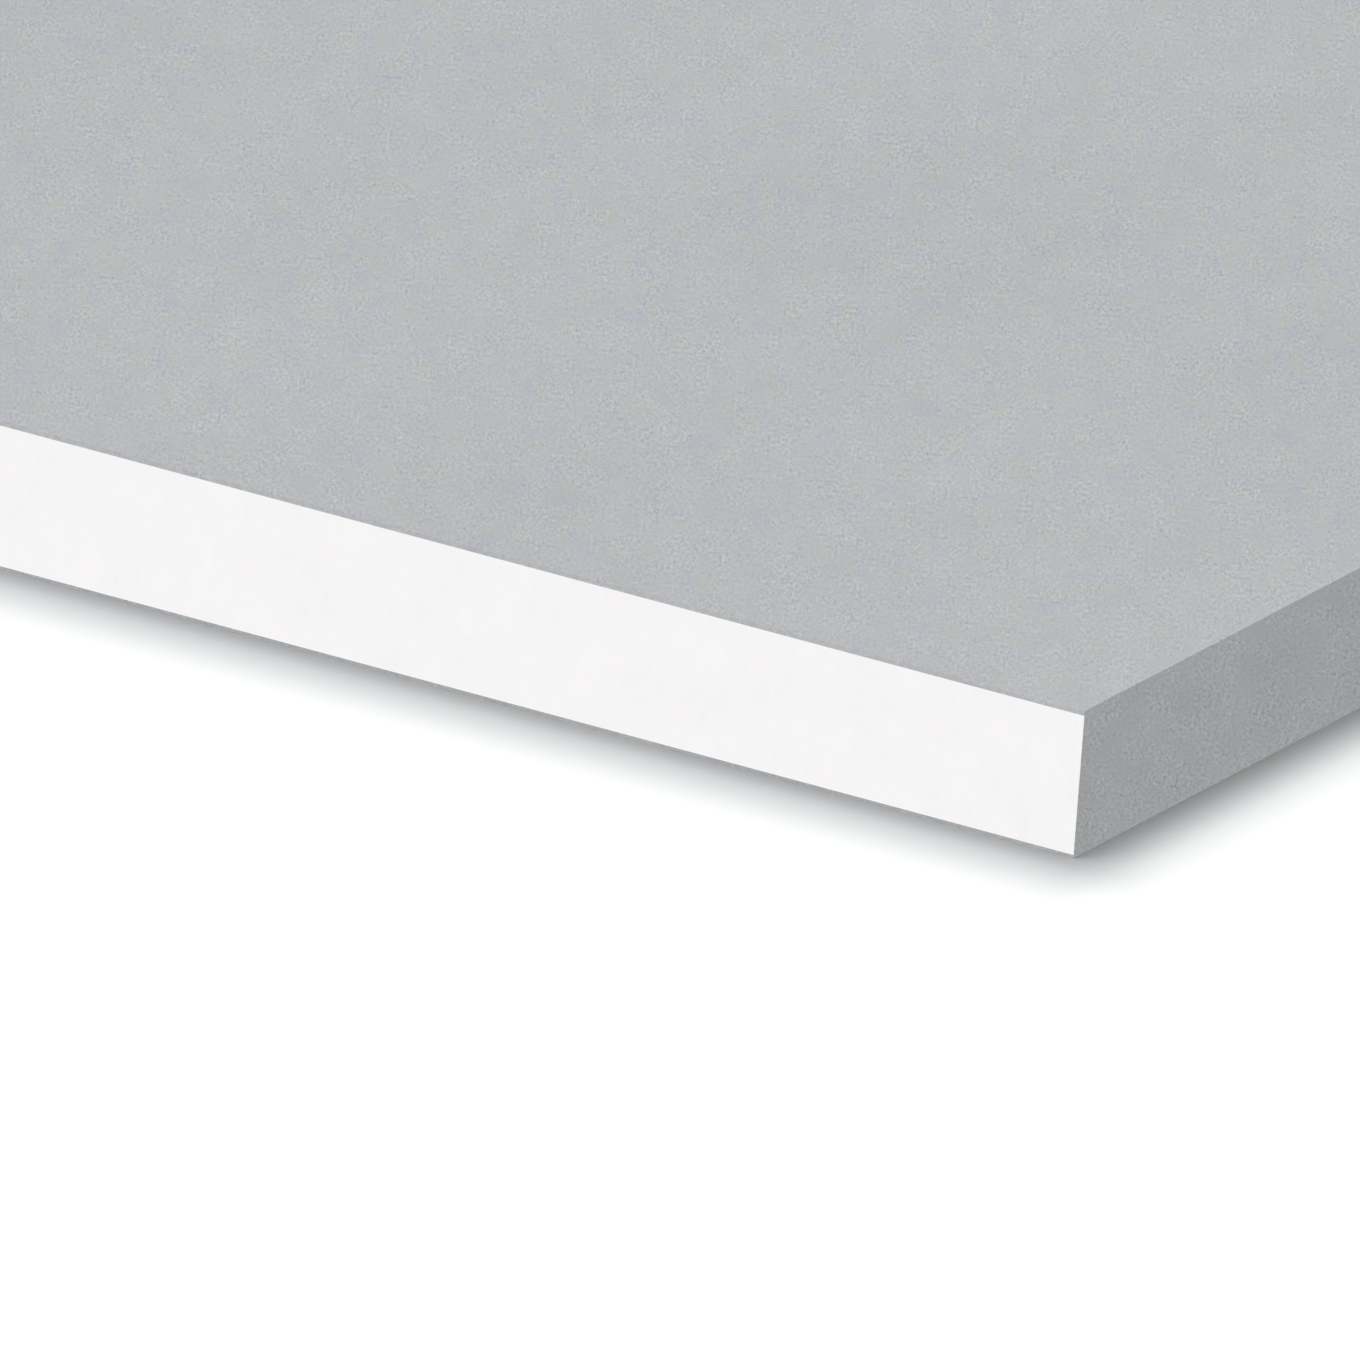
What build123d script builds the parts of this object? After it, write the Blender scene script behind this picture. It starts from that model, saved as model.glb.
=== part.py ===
from build123d import *
import os

# A gypsum fiberboard: gypsum and paper fibre pressed into one solid sheet, lying flat with its face up.
# Millimetres. +X across the width, +Y along the length, +Z up, origin under the middle of the back face.

# Driving dimensions
BOARD_WIDTH = 1000.0  # between the two pressed long edges
BOARD_LENGTH = 1500.0  # between the two sawn ends
BOARD_THICKNESS = 12.5  # back face to front face
LONG_EDGE_RADIUS = 0.08  # rounding that the press leaves on the arrises of the long edges
SAWN_END_BREAK = 0.05  # bevel that breaks the arrises of the sawn ends

PARTS_FOLDER = "parts"


def edge_profile():
    """Section across the board, standing on the floor line, with the pressed edges' rounded arrises."""
    with BuildSketch(Plane.XZ) as profile:
        with Locations((0, BOARD_THICKNESS / 2)):
            RectangleRounded(BOARD_WIDTH, BOARD_THICKNESS, LONG_EDGE_RADIUS)
    return profile.sketch


def end_profile():
    """Section along the board, standing on the floor line, with the sawn ends' broken arrises."""
    with BuildSketch(Plane.YZ) as profile:
        with Locations((0, BOARD_THICKNESS / 2)):
            outline = Rectangle(BOARD_LENGTH, BOARD_THICKNESS)
        chamfer(outline.vertices(), SAWN_END_BREAK)
    return profile.sketch


def make_board():
    """The pressed strip, as long as the board, cut to the shape of its two sawn ends."""
    pressed_strip = extrude(edge_profile(), amount=BOARD_LENGTH / 2, both=True)
    sawn_length = extrude(end_profile(), amount=BOARD_WIDTH / 2, both=True)
    return pressed_strip & sawn_length


def main():
    os.makedirs(PARTS_FOLDER, exist_ok=True)
    export_step(make_board(), os.path.join(PARTS_FOLDER, "board.step"))


main()
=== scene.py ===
import math

import bpy
import numpy as np
from mathutils import Matrix, Vector


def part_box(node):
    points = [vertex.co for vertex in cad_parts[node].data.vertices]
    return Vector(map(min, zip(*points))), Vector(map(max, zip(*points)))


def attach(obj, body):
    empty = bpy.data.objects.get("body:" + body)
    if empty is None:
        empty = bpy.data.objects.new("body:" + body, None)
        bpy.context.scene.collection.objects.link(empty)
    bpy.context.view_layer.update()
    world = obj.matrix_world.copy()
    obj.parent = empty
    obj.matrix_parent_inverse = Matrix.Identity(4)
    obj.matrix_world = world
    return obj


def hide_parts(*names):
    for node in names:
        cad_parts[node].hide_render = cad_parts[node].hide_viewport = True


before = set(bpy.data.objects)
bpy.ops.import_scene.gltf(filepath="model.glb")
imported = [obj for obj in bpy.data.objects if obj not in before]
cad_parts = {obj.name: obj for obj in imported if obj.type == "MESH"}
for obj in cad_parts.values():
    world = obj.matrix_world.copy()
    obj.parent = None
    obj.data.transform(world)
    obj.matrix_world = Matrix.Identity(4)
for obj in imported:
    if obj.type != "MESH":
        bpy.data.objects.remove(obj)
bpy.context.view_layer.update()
boardLow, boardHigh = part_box("board")
print("frame loaded, board", [round(side, 4) for side in boardHigh - boardLow])


# Shader helpers

noiseMiddle = 0.5  # the noise runs from 0 to 1


def startMaterial(name):
    material = bpy.data.materials.new(name)
    material.use_nodes = True
    tree = material.node_tree
    return material, tree, tree.nodes["Principled BSDF"]


def plug(tree, value, socket):  # a socket is linked, a number is set
    if isinstance(value, bpy.types.NodeSocket):
        tree.links.new(value, socket)
    else:
        socket.default_value = value


def sums(tree, operation, *values):
    node = tree.nodes.new("ShaderNodeMath")
    node.operation = operation
    for value, socket in zip(values, node.inputs):
        plug(tree, value, socket)
    return node.outputs["Value"]


def vectors(tree, operation, first, second):  # SCALE takes a number as its second value
    node = tree.nodes.new("ShaderNodeVectorMath")
    node.operation = operation
    plug(tree, first, node.inputs[0])
    plug(tree, second, node.inputs["Scale" if operation == "SCALE" else 1])
    return node.outputs["Vector"]


def laidOut(tree, stretch=(1.0, 1.0, 1.0), turn=(0.0, 0.0, 0.0)):  # own place, drawn out and turned
    place = tree.nodes.new("ShaderNodeTexCoord")
    mapping = tree.nodes.new("ShaderNodeMapping")
    mapping.vector_type = "TEXTURE"
    mapping.inputs["Scale"].default_value = stretch
    mapping.inputs["Rotation"].default_value = np.radians(turn)
    tree.links.new(place.outputs["Object"], mapping.inputs["Vector"])
    return mapping.outputs["Vector"]


def mottle(tree, place, look, name):  # noise about zero, in lumps of the size that the look has for it
    node = tree.nodes.new("ShaderNodeTexNoise")
    node.inputs["Scale"].default_value = 1 / look[name + "Size"]
    node.inputs["Detail"].default_value = look[name + "Detail"]
    tree.links.new(place, node.inputs["Vector"])
    return sums(tree, "SUBTRACT", node.outputs["Fac"], noiseMiddle)


def shaded(tree, place, look, **patterns):  # colour times one plus each pattern's shade, and a mottled tint
    shade = 1.0
    for name, pattern in patterns.items():
        shade = sums(tree, "MULTIPLY_ADD", pattern, look[name + "Shade"], shade)
    tint = vectors(tree, "SCALE", look["tint"], mottle(tree, place, look, "tint"))
    return vectors(tree, "ADD", vectors(tree, "SCALE", look["colour"], shade), tint)


def finishShader(tree, shader, look, colour, height):  # the height gives the bump and varies the roughness
    tree.links.new(colour, shader.inputs["Base Color"])
    roughness = sums(tree, "MULTIPLY_ADD", height, look["roughShade"], look["roughness"])
    tree.links.new(roughness, shader.inputs["Roughness"])
    shader.inputs["Specular IOR Level"].default_value = look["specular"]
    bump = tree.nodes.new("ShaderNodeBump")
    bump.inputs["Strength"].default_value = look["bump"]
    bump.inputs["Distance"].default_value = look["depth"]
    tree.links.new(height, bump.inputs["Height"])
    tree.links.new(bump.outputs["Normal"], shader.inputs["Normal"])


# Pressed gypsum and paper fibre: grey, with a fine clumped grain, specks, clouds and sanding lines

pressedFace = {  # sizes in metres, turns in degrees, shades as shares of the colour
    "colour": (0.3758, 0.3820, 0.3936),
    "fibreStretch": (1.0, 2.9, 1.0),
    "fibreTurn": (0.0, 0.0, 29.0),  # how far the fibres lie off the length of the sheet
    "grainSize": 0.00024, "grainDetail": 1.0, "grainShade": 0.49,
    "clumpSize": 0.0015, "clumpDetail": 1.0, "clumpShare": 3.0,  # the grain is stronger within a clump
    "speckSize": 0.003, "speckDetail": 2.0, "speckShade": 0.09,
    "cloudSize": 0.07, "cloudDetail": 3.0, "cloudShade": 0.11,
    "sandingSize": 0.009, "sandingDetail": 2.0, "sandingShade": 0.05,
    "sandingStretch": (1.0, 40.0, 1.0),
    "tintSize": 0.0014, "tintDetail": 1.0, "tint": (-0.023, -0.035, 0.054),
    "roughness": 0.92, "roughShade": 0.15, "specular": 0.1,
    "bump": 0.15, "depth": 0.00001,
}
pressedEdge = {
    **pressedFace,
    # a little lighter than the face grey, painted light for the long edge's tone; the grain is its own
    "colour": (0.3864, 0.3962, 0.4050),
    "fibreStretch": (1.0, 2.2, 1.0),
    "fibreTurn": (-22.6, 0.0, 0.0),
    "grainSize": 0.00025, "grainShade": 0.60,
    "speckShade": 0.17,
    "tint": (-0.006, -0.006, 0.014),
}
sawnSkinPaintedLight = {**pressedFace, "colour": (0.442, 0.451, 0.466)}  # face grey made lighter: painted light, so this front-facing strip shows the top face's tone


def pressedMaterial(name, look):
    material, tree, shader = startMaterial(name)
    place = laidOut(tree, look["fibreStretch"], look["fibreTurn"])
    clump = mottle(tree, place, look, "clump")
    strength = sums(tree, "MULTIPLY_ADD", clump, look["clumpShare"], 1.0)
    grain = sums(tree, "MULTIPLY", mottle(tree, place, look, "grain"), strength)
    speck = mottle(tree, place, look, "speck")
    cloud = mottle(tree, laidOut(tree), look, "cloud")
    sanding = mottle(tree, laidOut(tree, look["sandingStretch"]), look, "sanding")
    colour = shaded(tree, place, look, grain=grain, speck=speck, cloud=cloud, sanding=sanding)
    finishShader(tree, shader, look, colour, grain)
    return material


# Sawn gypsum: white, with faint upright saw lines, pores and patches

sawnCore = {
    "colour": (0.8986, 0.8864, 0.8872),
    "lineSize": 0.0005, "lineDetail": 2.0, "lineShade": 0.02,
    "lineStretch": (1.0, 1.0, 16.0),
    "poreSize": 0.0007, "poreDetail": 2.0, "poreShade": 0.035,
    "patchSize": 0.004, "patchDetail": 1.0, "patchShade": 0.04,
    "tintSize": 0.0025, "tintDetail": 1.0, "tint": (0.027, -0.012, -0.021),
    "roughness": 0.92, "roughShade": 0.15, "specular": 0.1,
    "bump": 0.1, "depth": 0.00001,
}


def sawnMaterial(name, look):
    material, tree, shader = startMaterial(name)
    place = laidOut(tree)
    line = mottle(tree, laidOut(tree, look["lineStretch"]), look, "line")
    pore = mottle(tree, place, look, "pore")
    patch = mottle(tree, place, look, "patch")
    colour = shaded(tree, place, look, line=line, pore=pore, patch=patch)
    finishShader(tree, shader, look, colour, pore)
    return material


# Board: the section of its edge carried round the sheet, between the grids of its two flat faces

boardShape = {  # lengths in metres
    "longRadius": 0.00008,  # rounding on the pressed long edges, at the front face
    "footRadius": 0.00003,  # the same at the floor
    "sawnBreak": 0.00005,  # bevel on the sawn ends, at the front face
    "footBreak": 0.00001,  # the same at the floor
    "skinOver": 0.00045,  # grey skin over the white of a sawn end
    "skinUnder": 0.00031,  # and under it
    "arrisRows": 4,
    "depthDigits": 8,  # decimal places to which depths are told apart
    "crumble": 0.35,  # share by which the arrises vary
    "waveCount": 24,
    "waveLengths": (0.0015, 0.03),
    "seed": 7,
    "acrossCount": 121,
    "alongCount": 161,
    "pinch": 3.0,  # how much closer the grid lines stand near the edges
}
faceFinish, edgeFinish, coreFinish, skinFinish = range(4)  # in the order of the board's materials


def gridLines(low, high, count, pinch):  # even steps through a tanh curve, closer towards both ends
    steps = np.tanh(pinch * np.linspace(-1.0, 1.0, count)) / math.tanh(pinch)
    return low + (high - low) * (steps + 1) / 2


def edgeWaves(distance, shape):  # sum of sine waves of random length and phase, kept between -1 and 1
    draw = np.random.default_rng(shape["seed"])
    lengths = draw.uniform(*shape["waveLengths"], shape["waveCount"])
    phases = draw.uniform(0.0, 2 * np.pi, shape["waveCount"])
    waves = np.sin(2 * np.pi * distance[:, None] / lengths + phases)
    return np.clip(waves.sum(axis=1) / math.sqrt(2 * shape["waveCount"]), -1.0, 1.0)


# depths below the front face at which the section has a point: on a rounding, its radius times one less
# the cosine of even angles, and one more wherever a bevel or a strip of skin ends
def edgeDepths(thickness, shape):
    curve = 1 - np.cos(np.linspace(0.0, np.pi / 2, shape["arrisRows"]))
    over = np.append(shape["longRadius"] * curve, [shape["sawnBreak"], shape["skinOver"]])
    under = np.append(shape["footRadius"] * curve, [shape["footBreak"], shape["skinUnder"]])
    return np.unique(np.round(np.concatenate([over, thickness - under]), shape["depthDigits"]))


# the border points in order, anticlockwise from the front left corner, and whether the step from each
# to the next runs along a sawn end
def walkRound(grid):
    sides = [grid[:-1, 0], grid[-1, :-1], grid[:0:-1, -1], grid[0, :0:-1]]
    onEnd = np.repeat([True, False, True, False], [side.size for side in sides])
    return np.concatenate(sides), onEnd


# the border at each depth, drawn in at a long edge by its rounding, the radius less the root of radius
# squared less reach squared, and at a sawn end by what is left of its bevel; both vary with the waves
def edgeBand(borderX, borderY, low, high, depths, shape):
    walked = np.cumsum(np.hypot(np.diff(borderX, prepend=borderX[0]), np.diff(borderY, prepend=borderY[0])))
    vary = 1 + shape["crumble"] * (edgeWaves(walked, shape) - 1) / 2
    fromBack = high.z - low.z - depths
    inward = np.minimum(depths, fromBack)
    upper = depths < fromBack
    radius = np.where(upper, shape["longRadius"], shape["footRadius"]) * vary
    reach = np.clip(radius - inward, 0.0, None)
    rounding = radius - np.sqrt(radius ** 2 - reach ** 2)
    bevel = np.clip(np.where(upper, shape["sawnBreak"], shape["footBreak"]) * vary - inward, 0.0, None)
    bandX = np.clip(borderX, low.x + rounding, high.x - rounding)
    bandY = np.clip(borderY, low.y + bevel, high.y - bevel)
    return np.stack([bandX, bandY, np.broadcast_to(high.z - depths, bandX.shape)], axis=2)


# one finish on a long edge; on a sawn end white, with skin above in a painted-light grey, face finish
# elsewhere
def edgeFinishes(depths, onEnd, thickness, shape):
    middle = (depths[:-1] + depths[1:]) / 2
    cut = np.where(middle < shape["skinOver"], skinFinish, coreFinish)
    cut[(middle < shape["sawnBreak"]) | (middle > thickness - shape["skinUnder"])] = faceFinish
    return np.where(onEnd, cut, edgeFinish).ravel()


def asQuads(*corners):  # four grids of point numbers as one list of quads
    return np.stack(corners, axis=2).reshape(-1, 4)


def boardSurface(low, high, shape):  # points, quads, and the number of each quad's finish
    gridX, gridY = np.meshgrid(
        gridLines(low.x, high.x, shape["acrossCount"], shape["pinch"]),
        gridLines(low.y, high.y, shape["alongCount"], shape["pinch"]), indexing="ij")
    grid = np.arange(gridX.size).reshape(gridX.shape)
    border, onEnd = walkRound(grid)
    thickness = high.z - low.z
    depths = edgeDepths(thickness, shape)[:, None]
    band = edgeBand(gridX.ravel()[border], gridY.ravel()[border], low, high, depths, shape)
    # points of the front face, the back face, then the rows of the edge between them
    front = np.stack([gridX.ravel(), gridY.ravel(), np.full(grid.size, high.z)], axis=1)
    back = np.stack([gridX.ravel(), gridY.ravel(), np.full(grid.size, low.z)], axis=1)
    front[border], back[border] = band[0], band[-1]
    points = np.concatenate([front, back, band[1:-1].reshape(-1, 3)])
    # quads of the two faces, then of the edge, each between one row and the next
    faceQuads = asQuads(grid[:-1, :-1], grid[1:, :-1], grid[1:, 1:], grid[:-1, 1:])
    between = 2 * grid.size + np.arange(band[1:-1, :, 0].size).reshape(-1, border.size)
    rows = np.concatenate([border[None], between, border[None] + grid.size])
    ahead = np.roll(rows, -1, axis=1)
    edgeQuads = asQuads(rows[:-1], rows[1:], ahead[1:], ahead[:-1])
    quads = np.concatenate([faceQuads, faceQuads[:, ::-1] + grid.size, edgeQuads])
    finishes = np.full(len(quads), faceFinish, np.int32)
    finishes[-len(edgeQuads):] = edgeFinishes(depths, onEnd, thickness, shape)
    return points, quads, finishes


def makeBoard(low, high, shape):
    points, quads, finishes = boardSurface(low, high, shape)
    mesh = bpy.data.meshes.new("board")
    mesh.from_pydata(points.tolist(), [], quads.tolist())
    mesh.materials.append(pressedMaterial("pressedFace", pressedFace))
    mesh.materials.append(pressedMaterial("pressedEdge", pressedEdge))
    mesh.materials.append(sawnMaterial("sawnCore", sawnCore))
    mesh.materials.append(pressedMaterial("sawnSkinPaintedLight", sawnSkinPaintedLight))
    mesh.polygons.foreach_set("material_index", finishes)
    mesh.validate()
    piece = bpy.data.objects.new("fiberboard", mesh)
    piece.visible_diffuse = False  # throws no light on the floor, so the shadow stays even
    bpy.context.collection.objects.link(piece)
    return piece


board = makeBoard(boardLow, boardHigh, boardShape)
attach(board, "root")
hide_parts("board")
print("board made,", len(board.data.polygons), "faces")


# Floor: plain white sheet

floorSheet = {"reach": 60.0, "colour": (0.909, 0.909, 0.909, 1.0), "roughness": 1.0, "specular": 0.0}


def makeFloor(sheet, level):
    reach = sheet["reach"]
    mesh = bpy.data.meshes.new("floor")
    corners = [(x * reach, y * reach, level) for x, y in ((-1, -1), (1, -1), (1, 1), (-1, 1))]
    mesh.from_pydata(corners, [], [(0, 1, 2, 3)])
    material, _, shader = startMaterial("floorSheet")
    shader.inputs["Base Color"].default_value = sheet["colour"]
    shader.inputs["Roughness"].default_value = sheet["roughness"]
    shader.inputs["Specular IOR Level"].default_value = sheet["specular"]
    mesh.materials.append(material)
    floor = bpy.data.objects.new("floor", mesh)
    floor.visible_diffuse = False  # throws no light back, so the board's edges stay evenly lit
    bpy.context.collection.objects.link(floor)
    return floor


makeFloor(floorSheet, boardLow.z)
print("floor laid")


# Studio light: a cool soft key overhead, warmer keys from behind, and low fills along the floor

coolWhite = (0.978, 1.0, 1.015)
warmWhite = (1.012, 1.0, 0.992)
plainWhite = (1.0, 1.0, 1.0)
studio = {
    "suns": {  # degrees round from the front, degrees up, strength, width in degrees, colour
        "topKey": (339.0, 82.5, 0.597, 42.8, coolWhite),
        "backKey": (224.7, 55.7, 0.694, 39.5, warmWhite),
        "lowKey": (191.2, 27.4, 0.128, 6.4, warmWhite),
        "frontFill": (41.1, 1.0, 1.2444, 1.5, plainWhite),
        "backFill": (218.9, 1.0, 0.797, 1.5, plainWhite),
    },
    "backdrop": 1.2,
}


def towards(azimuth, elevation):  # unit vector away from the object, 0 is the front and 90 the right
    turn, lift = math.radians(azimuth), math.radians(elevation)
    return Vector((math.sin(turn) * math.cos(lift), -math.cos(turn) * math.cos(lift), math.sin(lift)))


def addSun(name, azimuth, elevation, strength, width, colour):
    lamp = bpy.data.lights.new(name, "SUN")
    lamp.color = colour
    lamp.energy = strength * math.pi  # a strength of 1 shows a white face, square on, as white
    lamp.angle = math.radians(width)
    lamp.cycles.use_multiple_importance_sampling = False  # shadow rays alone, which the board stops
    sun = bpy.data.objects.new(name, lamp)
    sun.rotation_euler = towards(azimuth, elevation).to_track_quat("Z", "Y").to_euler()
    bpy.context.collection.objects.link(sun)


def makeBackdrop(shown):  # white where the view meets it, and no light on the object
    world = bpy.data.worlds.new("studio")
    world.use_nodes = True
    tree = world.node_tree
    background = tree.nodes["Background"]
    background.inputs["Color"].default_value = (*plainWhite, 1.0)
    path = tree.nodes.new("ShaderNodeLightPath")
    seen = sums(tree, "MULTIPLY", path.outputs["Is Camera Ray"], shown)
    tree.links.new(seen, background.inputs["Strength"])
    bpy.context.scene.world = world


for sunName, sunSetting in studio["suns"].items():
    addSun(sunName, *sunSetting)
makeBackdrop(studio["backdrop"])
bpy.context.scene.view_settings.view_transform = "Standard"
print("lights set")


# Camera: long lens on the near right corner, leaning a little as the picture does

photoView = {  # degrees and metres, the lens in millimetres
    "azimuth": 29.107,
    "elevation": 19.931,
    "roll": 4.288,
    "lens": 1600.0,
    "distance": 4.7779,
    "aim": (-0.02807, -0.01555, 0.0),  # from the near corner of the front face
    "farthest": 200.0,
}


def makeCamera(view, corner):
    lens = bpy.data.cameras.new("photoView")
    lens.lens = view["lens"]
    lens.clip_end = view["farthest"]
    camera = bpy.data.objects.new("photoView", lens)
    bpy.context.collection.objects.link(camera)
    turn = Matrix.Rotation(math.radians(view["azimuth"]), 3, "Z")
    tip = Matrix.Rotation(math.radians(90.0 - view["elevation"]), 3, "X")
    lean = Matrix.Rotation(math.radians(view["roll"]), 3, "Z")
    axes = turn @ tip @ lean
    camera.location = corner + Vector(view["aim"]) + axes.col[2] * view["distance"]
    camera.rotation_euler = axes.to_euler()
    return camera


bpy.context.scene.camera = makeCamera(photoView, Vector((boardHigh.x, boardLow.y, boardHigh.z)))
print("camera placed")
